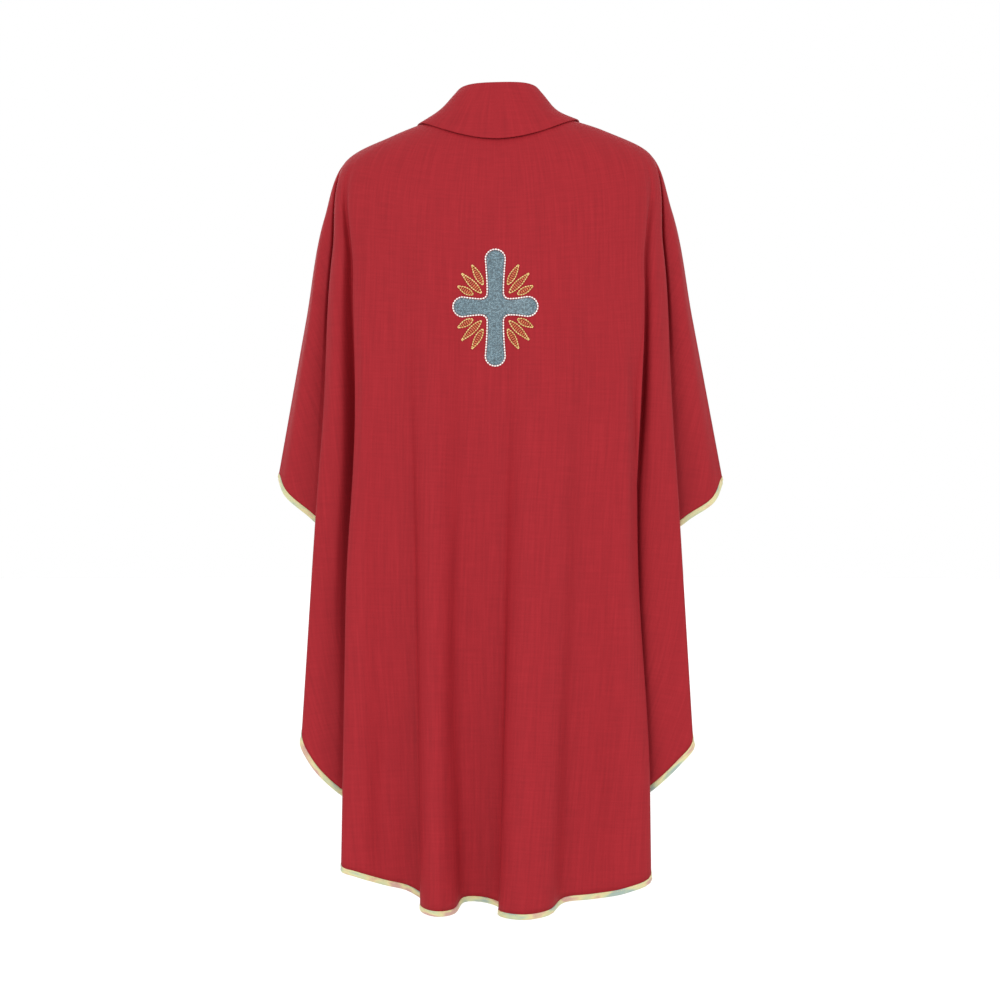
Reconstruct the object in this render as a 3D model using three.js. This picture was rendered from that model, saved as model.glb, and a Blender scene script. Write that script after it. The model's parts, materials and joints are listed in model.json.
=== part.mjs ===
// A chasuble in plain red cloth, filled out as worn on a general figure with no wearer inside.
// It is a poncho of two panels that meet along the shoulders and the tops of the arms.
// Units are millimetres. +Z is up, -Y is the garment's back, and the origin is at the neck.
import * as THREE from 'three';

// Driving dimensions of the cloth
const clothWall = 2;
const stripWidth = 8;
const seamGap = 0.3;
const collarWall = 2.4;
const crossThickness = 1.2;
const crossGap = 0.6;

// Rows of the wall between each pair of stations of a fold line, from the neck to the hem,
// and columns of the wall between each pair of fold lines
const rowsBetween = [2, 2, 3, 4, 6];
const columnsBetween = 2;

// Rings about the neck. A ring is level from side to side and tilts from its back to its front:
// its half width, the Y of its back and its front, and its height at the back, side and front.
// Square is 1 for an ellipse, and smaller for a ring with fuller corners.
const neckRing = { half: 92, back: -66, front: 92, zBack: 12, zSide: 9, zFront: -48, square: 1 };
const yokeRing = { half: 247, back: -128, front: 132, zBack: -104, zSide: -58, zFront: -150, square: 0.8 };
const rollRing = { half: 67, back: -70, front: 96, zBack: 61, zSide: 45, zFront: -2, square: 0.8 };

// The garment sits a little higher on one shoulder: the rise in height for each millimetre of X
const shoulderTilt = 0.025;

// How far the cloth rises over the shoulders between the neck and the yoke, and how far it
// stands out below the yoke, at two stations given as shares of the drop to the hem, with the
// share of a fold line's own tuck that draws it there towards the middle of the garment
const domeRise = 8;
const standOut = [
  { share: 0.16, out: 13, tucked: 0.5 },
  { share: 0.5, out: 8, tucked: 1 },
];

// The collar: how far its stand lies inside and above the neck edge that it is sewn to, how far
// the fall's edge lies from the neck and stands off the panels, the radius of the roll between
// them and how far the fall's middle bows out
const collarForm = {
  inset: 1.2,
  lift: 0.9,
  reachBack: 55,
  reachSide: 39,
  reachFront: 52,
  standOff: 3.3,
  rollRadius: 5,
  bow: 2,
  columns: 44,
};

// Fold lines of the back panel, from the left arm to the right arm. Turn is where the line
// leaves the neck and the yoke, in degrees from the middle of the back, and x, y and z are
// where it meets the hem. Tuck is how far a line inside a deep fold is drawn in at mid height.
const backFolds = [
  { turn: -90, x: -350, y: 0, z: -553 }, // arm seam, the tip of the left sleeve
  { turn: -86, x: -339, y: -22, z: -578 },
  { turn: -82, x: -291, y: -42, z: -620 },
  { turn: -80, x: -200, y: -42, z: -712 }, // valley under the left middle tier
  { turn: -78, x: -199, y: -58, z: -735 },
  { turn: -75, x: -245, y: -87, z: -850 },
  { turn: -72.5, x: -301, y: -92, z: -936 }, // edge of the left middle tier
  { turn: -70, x: -305, y: -109, z: -966 },
  { turn: -68, x: -288, y: -121, z: -999 },
  { turn: -65, x: -244, y: -128, z: -1043, tuck: 2 },
  { turn: -63.5, x: -172, y: -122, z: -1085, tuck: 22 }, // valley under the left of the back tier
  { turn: -61, x: -170, y: -146, z: -1100, tuck: 18 },
  { turn: -59, x: -202, y: -160, z: -1122 },
  { turn: -57, x: -238, y: -163, z: -1147 }, // left edge of the back tier
  { turn: -55, x: -238, y: -180, z: -1156 },
  { turn: -50, x: -216, y: -192, z: -1162 },
  { turn: -42, x: -174, y: -180, z: -1176 },
  { turn: -33, x: -130, y: -175, z: -1189 },
  { turn: -28, x: -114, y: -180, z: -1200 }, // valley under the left loop
  { turn: -24, x: -118, y: -201, z: -1211 },
  { turn: -19, x: -95, y: -226, z: -1217 }, // left loop
  { turn: -13, x: -67, y: -208, z: -1216 },
  { turn: -8, x: -53, y: -181, z: -1203 },
  { turn: -2, x: -7, y: -176, z: -1207 },
  { turn: 2, x: 6, y: -188, z: -1212 }, // valley under the right loop
  { turn: 6, x: 1, y: -211, z: -1217 },
  { turn: 12, x: 40, y: -238, z: -1220 }, // right loop
  { turn: 21, x: 76, y: -222, z: -1216 },
  { turn: 30, x: 101, y: -181, z: -1203 },
  { turn: 38, x: 146, y: -172, z: -1199 },
  { turn: 47, x: 196, y: -178, z: -1189 },
  { turn: 55, x: 235, y: -154, z: -1173 }, // right edge of the back tier
  { turn: 57, x: 233, y: -138, z: -1158 },
  { turn: 59, x: 202, y: -138, z: -1124 },
  { turn: 61, x: 172, y: -136, z: -1102 }, // valley under the right of the back tier
  { turn: 63.5, x: 172, y: -118, z: -1086, tuck: 6 },
  { turn: 65, x: 236, y: -121, z: -1040 },
  { turn: 68, x: 278, y: -116, z: -1002 },
  { turn: 70, x: 303, y: -106, z: -973 }, // edge of the right middle tier
  { turn: 72.5, x: 300, y: -89, z: -944 },
  { turn: 75, x: 247, y: -84, z: -850 },
  { turn: 78, x: 200, y: -69, z: -735 }, // valley under the right middle tier
  { turn: 80, x: 202, y: -51, z: -712 },
  { turn: 82, x: 297, y: -41, z: -622 },
  { turn: 86, x: 343, y: -22, z: -590 },
  { turn: 90, x: 358, y: 0, z: -558 }, // arm seam, the tip of the right sleeve
];

// Fold lines of the front panel, from the right arm round to the left arm
const frontFolds = [
  { turn: 90, x: 358, y: 0, z: -558 }, // arm seam, the tip of the right sleeve
  { turn: 94, x: 340, y: 22, z: -574 },
  { turn: 98, x: 284, y: 39, z: -602 },
  { turn: 100, x: 196, y: 50, z: -690 }, // valley under the right middle tier
  { turn: 103, x: 194, y: 68, z: -715 },
  { turn: 106, x: 240, y: 85, z: -815 },
  { turn: 109, x: 280, y: 92, z: -908 }, // edge of the right middle tier
  { turn: 112, x: 283, y: 110, z: -940 },
  { turn: 114, x: 265, y: 120, z: -976 },
  { turn: 117, x: 190, y: 128, z: -1045, tuck: 20 }, // valley under the right of the front tier
  { turn: 120, x: 188, y: 147, z: -1065, tuck: 18 },
  { turn: 123, x: 220, y: 158, z: -1106 }, // right edge of the front tier
  { turn: 127, x: 218, y: 177, z: -1122 },
  { turn: 135, x: 176, y: 190, z: -1146 },
  { turn: 146, x: 128, y: 168, z: -1162 },
  { turn: 156, x: 84, y: 200, z: -1176 }, // right soft fold
  { turn: 167, x: 42, y: 172, z: -1174 },
  { turn: 180, x: -4, y: 206, z: -1184 }, // middle soft fold
  { turn: 192, x: -52, y: 174, z: -1176 },
  { turn: 203, x: -96, y: 202, z: -1178 }, // left soft fold
  { turn: 214, x: -138, y: 168, z: -1164 },
  { turn: 225, x: -182, y: 188, z: -1148 },
  { turn: 233, x: -222, y: 175, z: -1122 }, // left edge of the front tier
  { turn: 237, x: -222, y: 156, z: -1104 },
  { turn: 240, x: -188, y: 145, z: -1063, tuck: 18 }, // valley under the left of the front tier
  { turn: 243, x: -190, y: 126, z: -1043, tuck: 20 },
  { turn: 246, x: -263, y: 118, z: -976 },
  { turn: 248, x: -281, y: 109, z: -940 }, // edge of the left middle tier
  { turn: 251, x: -278, y: 91, z: -908 },
  { turn: 254, x: -238, y: 84, z: -815 },
  { turn: 257, x: -192, y: 67, z: -715 }, // valley under the left middle tier
  { turn: 260, x: -194, y: 49, z: -690 },
  { turn: 262, x: -278, y: 39, z: -600 },
  { turn: 266, x: -334, y: 22, z: -566 },
  { turn: 270, x: -350, y: 0, z: -553 }, // arm seam, the tip of the left sleeve
];

// The embroidered cross on the back: the middle, the arms' lengths and half widths,
// the rounding of its inner corners and the steps of its grid
const crossForm = {
  x: -4,
  z: -298,
  up: 88,
  down: 90,
  side: 64,
  waist: 11,
  bulb: 14,
  corner: 12,
  steps: 68,
  rings: 5,
};

function radians(degrees) {
  return (degrees * Math.PI) / 180;
}

function sharpen(value, power) {
  return Math.sign(value) * Math.abs(value) ** power;
}

// A value that runs smoothly round a ring from its back through its sides to its front
function aroundRing(turn, back, side, front) {
  const c = Math.cos(radians(turn));
  return side + ((back - front) / 2) * c + ((back + front) / 2 - side) * c * c;
}

function ringPoint(ring, turn) {
  const x = ring.half * sharpen(Math.sin(radians(turn)), ring.square);
  const backwards = sharpen(Math.cos(radians(turn)), ring.square);
  const y = backwards > 0 ? ring.back * backwards : -ring.front * backwards;
  const z = aroundRing(turn, ring.zBack, ring.zSide, ring.zFront) + shoulderTilt * x;
  return new THREE.Vector3(x, y, z);
}

function outward(turn) {
  return new THREE.Vector3(Math.sin(radians(turn)), -Math.cos(radians(turn)), 0);
}

// The slope of a smooth curve at its middle point, from the slopes on either side
function slopeAt(before, here, after) {
  if (!before) return after.clone().sub(here).divideScalar(here.distanceTo(after));
  if (!after) return here.clone().sub(before).divideScalar(before.distanceTo(here));
  const lengthIn = before.distanceTo(here);
  const lengthOut = here.distanceTo(after);
  const slopeIn = here.clone().sub(before).divideScalar(lengthIn);
  const slopeOut = after.clone().sub(here).divideScalar(lengthOut);
  return slopeIn.multiplyScalar(lengthOut).addScaledVector(slopeOut, lengthIn).divideScalar(lengthIn + lengthOut);
}

// A point on the smooth curve through a list of points, at a share of the stretch after one
function curvePoint(points, index, share) {
  const start = points[index];
  const end = points[index + 1];
  const length = start.distanceTo(end);
  const slopeStart = slopeAt(points[index - 1], start, end).multiplyScalar(length);
  const slopeEnd = slopeAt(start, end, points[index + 2]).multiplyScalar(length);
  const s = share;
  return start
    .clone()
    .multiplyScalar(2 * s ** 3 - 3 * s ** 2 + 1)
    .addScaledVector(slopeStart, s ** 3 - 2 * s ** 2 + s)
    .addScaledVector(end, 3 * s ** 2 - 2 * s ** 3)
    .addScaledVector(slopeEnd, s ** 3 - s ** 2);
}

// Points along the smooth curve, with a number of steps in each stretch
function curveThrough(points, stepsIn) {
  const result = [];
  for (let index = 0; index < points.length - 1; index += 1) {
    const steps = stepsIn(index);
    for (let step = 0; step < steps; step += 1) {
      result.push(curvePoint(points, index, step / steps));
    }
  }
  result.push(points[points.length - 1].clone());
  return result;
}

// The stations over the shoulders: neck, top of the dome and yoke
function domeLine(turn) {
  const neck = ringPoint(neckRing, turn);
  const yoke = ringPoint(yokeRing, turn);
  const rise = outward(turn).multiplyScalar(0.55).setZ(0.83).multiplyScalar(domeRise);
  return [neck, neck.clone().lerp(yoke, 0.5).add(rise), yoke];
}

// The stations of one fold line: those over the shoulders, two below the yoke, and the hem
function foldLine(fold) {
  const dome = domeLine(fold.turn);
  const yoke = dome[dome.length - 1];
  const hem = new THREE.Vector3(fold.x, fold.y, fold.z);
  const out = outward(fold.turn);
  const tuck = Math.sign(fold.y) * (fold.tuck ?? 0);
  const below = standOut.map((row) => {
    const station = yoke.clone().lerp(hem, row.share).addScaledVector(out, row.out);
    station.y -= row.tucked * tuck;
    return station;
  });
  return [...dome, ...below, hem];
}

// The panel's middle surface, as columns of points from the neck to the hem
function panelSurface(folds) {
  const lines = folds.map((fold) => curveThrough(foldLine(fold), (index) => rowsBetween[index]));
  const rows = lines[0].map((_, row) => {
    const across = lines.map((line) => line[row]);
    return curveThrough(across, () => columnsBetween);
  });
  return rows[0].map((_, column) => rows.map((row) => row[column]));
}

// Outward normals of a surface whose columns run on round the neck and whose rows run down it.
// Along an arm seam they have no Y, so that the two panels' edges face each other squarely.
function surfaceNormals(surface, closed) {
  const last = surface.length - 1;
  return surface.map((column, i) => {
    const left = closed ? surface[(i + last) % surface.length] : surface[Math.max(i - 1, 0)];
    const right = closed ? surface[(i + 1) % surface.length] : surface[Math.min(i + 1, last)];
    return column.map((_, j) => {
      const across = right[j].clone().sub(left[j]);
      const down = column[Math.min(j + 1, column.length - 1)].clone().sub(column[Math.max(j - 1, 0)]);
      const normal = down.cross(across);
      if (!closed && (i === 0 || i === last)) normal.setY(0);
      return normal.normalize();
    });
  });
}

// One closed wall: outer points, inner points and a rim along every open edge
function wallGeometry(outer, inner, closed) {
  const columns = outer.length;
  const rows = outer[0].length;
  const positions = [];
  outer.forEach((column) => column.forEach((point) => positions.push(point.x, point.y, point.z)));
  inner.forEach((column) => column.forEach((point) => positions.push(point.x, point.y, point.z)));
  const innerStart = columns * rows;
  const outside = (i, j) => (i % columns) * rows + j;
  const inside = (i, j) => innerStart + outside(i, j);
  const faces = [];
  const quad = (a, b, c, d) => faces.push(a, b, c, a, c, d);
  const spans = closed ? columns : columns - 1;
  for (let i = 0; i < spans; i += 1) {
    for (let j = 0; j < rows - 1; j += 1) {
      quad(outside(i, j), outside(i, j + 1), outside(i + 1, j + 1), outside(i + 1, j));
      quad(inside(i, j), inside(i + 1, j), inside(i + 1, j + 1), inside(i, j + 1));
    }
    quad(outside(i, 0), outside(i + 1, 0), inside(i + 1, 0), inside(i, 0));
    quad(outside(i, rows - 1), inside(i, rows - 1), inside(i + 1, rows - 1), outside(i + 1, rows - 1));
  }
  if (!closed) {
    for (let j = 0; j < rows - 1; j += 1) {
      quad(outside(0, j), inside(0, j), inside(0, j + 1), outside(0, j + 1));
      quad(outside(spans, j), outside(spans, j + 1), inside(spans, j + 1), inside(spans, j));
    }
  }
  const geometry = new THREE.BufferGeometry();
  geometry.setAttribute('position', new THREE.Float32BufferAttribute(positions, 3));
  geometry.setIndex(faces);
  geometry.computeVertexNormals();
  return geometry;
}

function moved(surface, normals, distance) {
  return surface.map((column, i) => column.map((point, j) => point.clone().addScaledVector(normals[i][j], distance)));
}

function wallAbout(surface, normals, thickness, closed) {
  const outer = moved(surface, normals, thickness / 2);
  const inner = moved(surface, normals, -thickness / 2);
  return wallGeometry(outer, inner, closed);
}

// Each panel ends half a gap short of the arm seam
function partedAtSeams(surface) {
  const sideOfSeam = Math.sign(surface[Math.floor(surface.length / 2)][0].y);
  [surface[0], surface[surface.length - 1]].forEach((column) => {
    column.forEach((point) => point.setY((sideOfSeam * seamGap) / 2));
  });
  return surface;
}

// The strip goes on from the panel's hem, square to the edge, a seam's gap away
function stripSurface(surface, normals) {
  const hemRow = surface[0].length - 1;
  const last = surface.length - 1;
  return surface.map((column, i) => {
    const hem = column[hemRow];
    const along = surface[Math.min(i + 1, last)][hemRow].clone().sub(surface[Math.max(i - 1, 0)][hemRow]);
    const away = along.cross(normals[i][hemRow]).normalize();
    const down = hem.clone().sub(column[hemRow - 1]);
    if (away.dot(down) < 0) away.negate();
    if (i === 0 || i === last) away.setY(0).normalize();
    return [seamGap, seamGap + stripWidth].map((distance) => hem.clone().addScaledVector(away, distance));
  });
}

function cloth(name, geometry, colour, roughness) {
  const material = new THREE.MeshStandardMaterial({ color: colour, roughness, metalness: 0 });
  const mesh = new THREE.Mesh(geometry, material);
  mesh.name = name;
  return mesh;
}

const red = '#a73036';
const paleGold = '#d8cfa0';
const greyBlue = '#6e93a0';

const group = new THREE.Group();

const panels = {};
[
  { side: 'back', folds: backFolds },
  { side: 'front', folds: frontFolds },
].forEach(({ side, folds }) => {
  const surface = partedAtSeams(panelSurface(folds));
  const normals = surfaceNormals(surface, false);
  panels[side] = { surface, normals };
  group.add(cloth(`${side}_panel`, wallAbout(surface, normals, clothWall, false), red, 0.75));
  const strip = stripSurface(surface, normals);
  const stripNormals = normals.map((column) => [column[column.length - 1], column[column.length - 1]]);
  group.add(cloth(`hem_strip_${side}`, wallAbout(strip, stripNormals, clothWall, false), paleGold, 0.55));
});

// A point and the outward normal of the panels over the shoulders, at a distance from the neck
function onShoulders(turn, distance) {
  const at = (someTurn, someDistance) => {
    const dome = domeLine(someTurn);
    return curvePoint(dome, 0, someDistance / dome[0].distanceTo(dome[1]));
  };
  const point = at(turn, distance);
  const down = at(turn, distance + 1).sub(at(turn, distance - 1));
  const across = at(turn + 1, distance).sub(at(turn - 1, distance));
  return { point, normal: down.cross(across).normalize() };
}

// The collar: a band that stands up from the neck, rolls over and falls outside over the panels
function collarColumn(turn) {
  const { inset, lift, rollRadius, standOff, reachBack, reachSide, reachFront, bow } = collarForm;
  const out = outward(turn);
  const stand = ringPoint(neckRing, turn).addScaledVector(out, -inset);
  stand.z += lift;
  const roll = ringPoint(rollRing, turn);
  const { point, normal } = onShoulders(turn, aroundRing(turn, reachBack, reachSide, reachFront));
  const fall = point.addScaledVector(normal, standOff);
  const rollIn = roll.clone().addScaledVector(out, -rollRadius).setZ(roll.z - rollRadius);
  const rollOut = roll.clone().addScaledVector(out, rollRadius).setZ(roll.z - rollRadius);
  const middle = rollOut.clone().lerp(fall, 0.5).addScaledVector(out, bow);
  return curveThrough([stand, rollIn, roll, rollOut, middle, fall], () => 1);
}

const collarSurface = [];
for (let i = 0; i < collarForm.columns; i += 1) {
  collarSurface.push(collarColumn((360 * i) / collarForm.columns));
}
const collarNormals = surfaceNormals(collarSurface, true);
group.add(cloth('collar', wallAbout(collarSurface, collarNormals, collarWall, true), red, 0.75));

// The cross's outline: four arms with round ends, wider than their waists, and round inner corners
function crossOutline() {
  const { up, down, side, waist, bulb, corner } = crossForm;
  const shape = new THREE.Shape();
  const arms = [
    { angle: 0, length: side },
    { angle: 90, length: up },
    { angle: 180, length: side },
    { angle: 270, length: down },
  ];
  const place = (angle, along, aside) => {
    const a = radians(angle);
    return [along * Math.cos(a) - aside * Math.sin(a), along * Math.sin(a) + aside * Math.cos(a)];
  };
  arms.forEach(({ angle, length }, index) => {
    const start = place(angle, corner + waist, -waist);
    if (index === 0) shape.moveTo(...start);
    const flare = length / 2;
    shape.quadraticCurveTo(...place(angle, flare, -waist), ...place(angle, length - bulb, -bulb));
    shape.absarc(...place(angle, length - bulb, 0), bulb, radians(angle - 90), radians(angle + 90));
    shape.quadraticCurveTo(...place(angle, flare, waist), ...place(angle, corner + waist, waist));
    shape.quadraticCurveTo(...place(angle, waist, waist), ...place(angle + 90, corner + waist, -waist));
  });
  return shape.getSpacedPoints(crossForm.steps).slice(0, crossForm.steps);
}

// The height in Y of a faceted wall's outer face over a place in X and Z
function outerFaceAt(outer, x, z) {
  let best = null;
  const test = (a, b, c) => {
    const area = (b.x - a.x) * (c.z - a.z) - (c.x - a.x) * (b.z - a.z);
    const shareB = ((x - a.x) * (c.z - a.z) - (c.x - a.x) * (z - a.z)) / area;
    const shareC = ((b.x - a.x) * (z - a.z) - (x - a.x) * (b.z - a.z)) / area;
    if (shareB < 0 || shareC < 0 || shareB + shareC > 1) return;
    const y = a.y + shareB * (b.y - a.y) + shareC * (c.y - a.y);
    if (best === null || y < best) best = y;
  };
  for (let i = 0; i < outer.length - 1; i += 1) {
    for (let j = 0; j < outer[0].length - 1; j += 1) {
      test(outer[i][j], outer[i][j + 1], outer[i + 1][j + 1]);
      test(outer[i][j], outer[i + 1][j + 1], outer[i + 1][j]);
    }
  }
  return best;
}

// The cross lies on the back panel: rings of its outline, drawn in towards its middle, with each
// point moved out from the panel's outer face
function crossGeometry() {
  const outer = moved(panels.back.surface, panels.back.normals, clothWall / 2);
  const outline = crossOutline();
  const layer = (rise) => {
    const points = [];
    for (let ring = crossForm.rings; ring >= 1; ring -= 1) {
      outline.forEach((corner) => {
        const x = crossForm.x + (corner.x * ring) / crossForm.rings;
        const z = crossForm.z + (corner.y * ring) / crossForm.rings;
        points.push(x, outerFaceAt(outer, x, z) - rise, z);
      });
    }
    points.push(crossForm.x, outerFaceAt(outer, crossForm.x, crossForm.z) - rise, crossForm.z);
    return points;
  };
  const positions = [...layer(crossGap + crossThickness), ...layer(crossGap)];
  const steps = outline.length;
  const layerSize = steps * crossForm.rings + 1;
  const faces = [];
  const addFace = (a, b, c) => {
    faces.push(a, b, c);
    faces.push(layerSize + a, layerSize + c, layerSize + b);
  };
  for (let i = 0; i < steps; i += 1) {
    const next = (i + 1) % steps;
    for (let ring = 0; ring < crossForm.rings - 1; ring += 1) {
      const here = ring * steps;
      addFace(here + i, here + next, here + steps + next);
      addFace(here + i, here + steps + next, here + steps + i);
    }
    const innermost = (crossForm.rings - 1) * steps;
    addFace(innermost + i, innermost + next, layerSize - 1);
    faces.push(i, layerSize + i, layerSize + next, i, layerSize + next, next);
  }
  const geometry = new THREE.BufferGeometry();
  geometry.setAttribute('position', new THREE.Float32BufferAttribute(positions, 3));
  geometry.setIndex(faces);
  geometry.computeVertexNormals();
  return geometry;
}

group.add(cloth('cross', crossGeometry(), greyBlue, 0.45));

export default group;
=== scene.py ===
# %% [markdown]
# # A chasuble, dressed
# A chasuble is a poncho: one wide piece of cloth with a hole for the head, which falls over the
# shoulders and arms in deep folds. This lesson gives the plain walls of the frame a real finish:
# fine red cloth, a pale gold binding along the hem, a rolled collar and an embroidered cross.
# Lengths here are metres, and tables of sizes are millimetres, as a cutter would write them.

# %% Load the frame
import json
import math

import bmesh
import bpy
import numpy as np
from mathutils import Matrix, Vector
from mathutils.bvhtree import BVHTree

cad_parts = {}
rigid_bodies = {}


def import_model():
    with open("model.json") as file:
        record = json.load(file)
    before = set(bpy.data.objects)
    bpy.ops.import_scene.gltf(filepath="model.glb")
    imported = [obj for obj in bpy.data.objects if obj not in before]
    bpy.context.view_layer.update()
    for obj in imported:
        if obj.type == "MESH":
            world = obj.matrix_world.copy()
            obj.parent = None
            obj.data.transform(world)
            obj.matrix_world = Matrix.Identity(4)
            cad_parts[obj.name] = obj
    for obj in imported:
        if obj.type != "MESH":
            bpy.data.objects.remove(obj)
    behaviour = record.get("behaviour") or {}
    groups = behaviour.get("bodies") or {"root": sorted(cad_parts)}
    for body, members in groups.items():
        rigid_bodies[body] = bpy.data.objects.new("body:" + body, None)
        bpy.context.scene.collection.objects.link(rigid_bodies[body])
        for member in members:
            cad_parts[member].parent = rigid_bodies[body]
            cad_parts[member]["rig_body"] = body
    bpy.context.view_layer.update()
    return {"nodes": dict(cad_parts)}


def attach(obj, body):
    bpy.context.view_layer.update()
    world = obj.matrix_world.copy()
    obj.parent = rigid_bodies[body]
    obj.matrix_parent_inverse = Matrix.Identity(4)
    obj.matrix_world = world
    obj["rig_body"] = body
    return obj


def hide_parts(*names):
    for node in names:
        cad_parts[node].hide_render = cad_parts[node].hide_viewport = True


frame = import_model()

MM = 0.001
body = "root"
print("frame nodes:", sorted(frame["nodes"]))

# %% [markdown]
# Colours are written as they look on a screen, and turned to the linear light that Blender
# works in. One small helper adds a shader node with its settings and links, so that each
# material below reads as a list of what it is made of.

# %% Colour and node helpers
def linear(hex_colour):
    """An sRGB colour such as #a82e35 as linear red, green, blue and alpha."""
    channels = [int(hex_colour[i : i + 2], 16) / 255 for i in (1, 3, 5)]
    return [c / 12.92 if c <= 0.04045 else ((c + 0.055) / 1.055) ** 2.4 for c in channels] + [1.0]


def add_node(tree, kind, settings=None, inputs=None, links=None):
    """Add a node, set its properties and sockets, and link sockets from other nodes."""
    node = tree.nodes.new(kind)
    for key, value in (settings or {}).items():
        setattr(node, key, value)
    for key, value in (inputs or {}).items():
        node.inputs[key].default_value = value
    for key, source in (links or {}).items():
        tree.links.new(source, node.inputs[key])
    return node


def new_material(name, surface):
    """A node material with its output and a Principled shader with the given surface numbers."""
    material = bpy.data.materials.new(name)
    material.use_nodes = True
    tree = material.node_tree
    tree.nodes.clear()
    shader = add_node(tree, "ShaderNodeBsdfPrincipled", inputs=surface)
    add_node(tree, "ShaderNodeOutputMaterial", links={"Surface": shader.outputs["BSDF"]})
    return material, tree, shader


def set_ramp(ramp, stops):
    """Give a colour ramp its stops: place and grey value or colour."""
    elements = ramp.color_ramp.elements
    while len(elements) > 1:
        elements.remove(elements[-1])
    for index, (place, value) in enumerate(stops):
        element = elements[0] if index == 0 else elements.new(place)
        element.position = place
        element.color = value if isinstance(value, list) else [value, value, value, 1.0]
    return ramp


# %% [markdown]
# The garment hangs from the shoulders in fold lines. Each line leaves the neck at an angle from
# the middle of the back, crosses the shoulders and drops to its own place on the hem. Two
# neighbouring lines with the same x make the round turn of a deep fold. The tables below are
# the frame's own sizes, so that the cloth lies on the frame's walls.

# %% Rings of the neck, the yoke and the collar's roll
NECK = {"half": 92, "back": -66, "front": 92, "z_back": 12, "z_side": 9, "z_front": -48, "square": 1}
YOKE = {
    "half": 247, "back": -128, "front": 132,
    "z_back": -104, "z_side": -58, "z_front": -150, "square": 0.8,
}
ROLL = {"half": 67, "back": -70, "front": 96, "z_back": 61, "z_side": 45, "z_front": -2, "square": 0.8}
SHOULDER_TILT = 0.025
# How far the cloth bulges over the shoulder, and how much of that is outwards and upwards
DOME_RISE = 8
DOME_OUT, DOME_UP = 0.55, 0.83
STAND_OUT = [{"share": 0.16, "out": 13, "tucked": 0.5}, {"share": 0.5, "out": 8, "tucked": 1}]
# The collar: how its stand sits in the neck, how far the fall reaches at the back, the sides and
# the front, how far it stands off the shoulders, the radius of the roll, and how far the fall's
# middle bows out. It bows inwards at the sides, and on the right more so and further down.
COLLAR = {
    "inset": 1.2, "lift": 0.9, "back": 55, "side": 39, "front": 52, "radius": 5,
    "off": 3.3, "off_side": 2.0, "bow": 2, "bow_side": -8, "bow_right": -6, "down_right": 0.16,
}

# %% Fold lines
# Each row: turn in degrees, x, y and z at the hem, and how far it is tucked in at mid height
# Fold lines of the back, from the left arm to the right arm
BACK_FOLDS = [
    (-90, -350, 0, -553),  # arm seam, the tip of the left sleeve
    (-86, -339, -22, -578),
    (-82, -291, -42, -620),
    (-80, -200, -42, -712),  # valley under the left middle tier
    (-78, -199, -58, -735),
    (-75, -245, -87, -850),
    (-72.5, -301, -92, -936),  # edge of the left middle tier
    (-70, -305, -109, -966),
    (-68, -288, -121, -999),
    (-65, -244, -128, -1043, 2),
    (-63.5, -172, -122, -1085, 22),  # valley under the left of the back tier
    (-61, -170, -146, -1100, 18),
    (-59, -202, -160, -1122),
    (-57, -238, -163, -1147),  # left edge of the back tier
    (-55, -238, -180, -1156),
    (-50, -216, -192, -1162),
    (-42, -174, -180, -1176),
    (-33, -130, -175, -1189),
    (-28, -114, -180, -1200),  # valley under the left loop
    (-24, -118, -201, -1211),
    (-19, -95, -226, -1217),  # left loop
    (-13, -67, -208, -1216),
    (-8, -53, -181, -1203),
    (-2, -7, -176, -1207),
    (2, 6, -188, -1212),  # valley under the right loop
    (6, 1, -211, -1217),
    (12, 40, -238, -1220),  # right loop
    (21, 76, -222, -1216),
    (30, 101, -181, -1203),
    (38, 146, -172, -1199),
    (47, 196, -178, -1189),
    (55, 235, -154, -1173),  # right edge of the back tier
    (57, 233, -138, -1158),
    (59, 202, -138, -1124),
    (61, 172, -136, -1102),  # valley under the right of the back tier
    (63.5, 172, -118, -1086, 6),
    (65, 236, -121, -1040),
    (68, 278, -116, -1002),
    (70, 303, -106, -973),  # edge of the right middle tier
    (72.5, 300, -89, -944),
    (75, 247, -84, -850),
    (78, 200, -69, -735),  # valley under the right middle tier
    (80, 202, -51, -712),
    (82, 297, -41, -622),
    (86, 343, -22, -590),
    (90, 358, 0, -558),  # arm seam, the tip of the right sleeve
]
# Fold lines of the front, from the right arm round to the left arm
FRONT_FOLDS = [
    (90, 358, 0, -558),  # arm seam, the tip of the right sleeve
    (94, 340, 22, -574),
    (98, 284, 39, -602),
    (100, 196, 50, -690),  # valley under the right middle tier
    (103, 194, 68, -715),
    (106, 240, 85, -815),
    (109, 280, 92, -908),  # edge of the right middle tier
    (112, 283, 110, -940),
    (114, 265, 120, -976),
    (117, 190, 128, -1045, 20),  # valley under the right of the front tier
    (120, 188, 147, -1065, 18),
    (123, 220, 158, -1106),  # right edge of the front tier
    (127, 218, 177, -1122),
    (135, 176, 190, -1146),
    (146, 128, 168, -1162),
    (156, 84, 200, -1176),  # right soft fold
    (167, 42, 172, -1174),
    (180, -4, 206, -1184),  # middle soft fold
    (192, -52, 174, -1176),
    (203, -96, 202, -1178),  # left soft fold
    (214, -138, 168, -1164),
    (225, -182, 188, -1148),
    (233, -222, 175, -1122),  # left edge of the front tier
    (237, -222, 156, -1104),
    (240, -188, 145, -1063, 18),  # valley under the left of the front tier
    (243, -190, 126, -1043, 20),
    (246, -263, 118, -976),
    (248, -281, 109, -940),  # edge of the left middle tier
    (251, -278, 91, -908),
    (254, -238, 84, -815),
    (257, -192, 67, -715),  # valley under the left middle tier
    (260, -194, 49, -690),
    (262, -278, 39, -600),
    (266, -334, 22, -566),
    (270, -350, 0, -553),  # arm seam, the tip of the left sleeve
]
print("fold lines:", len(BACK_FOLDS), "on the back,", len(FRONT_FOLDS), "on the front")

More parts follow.
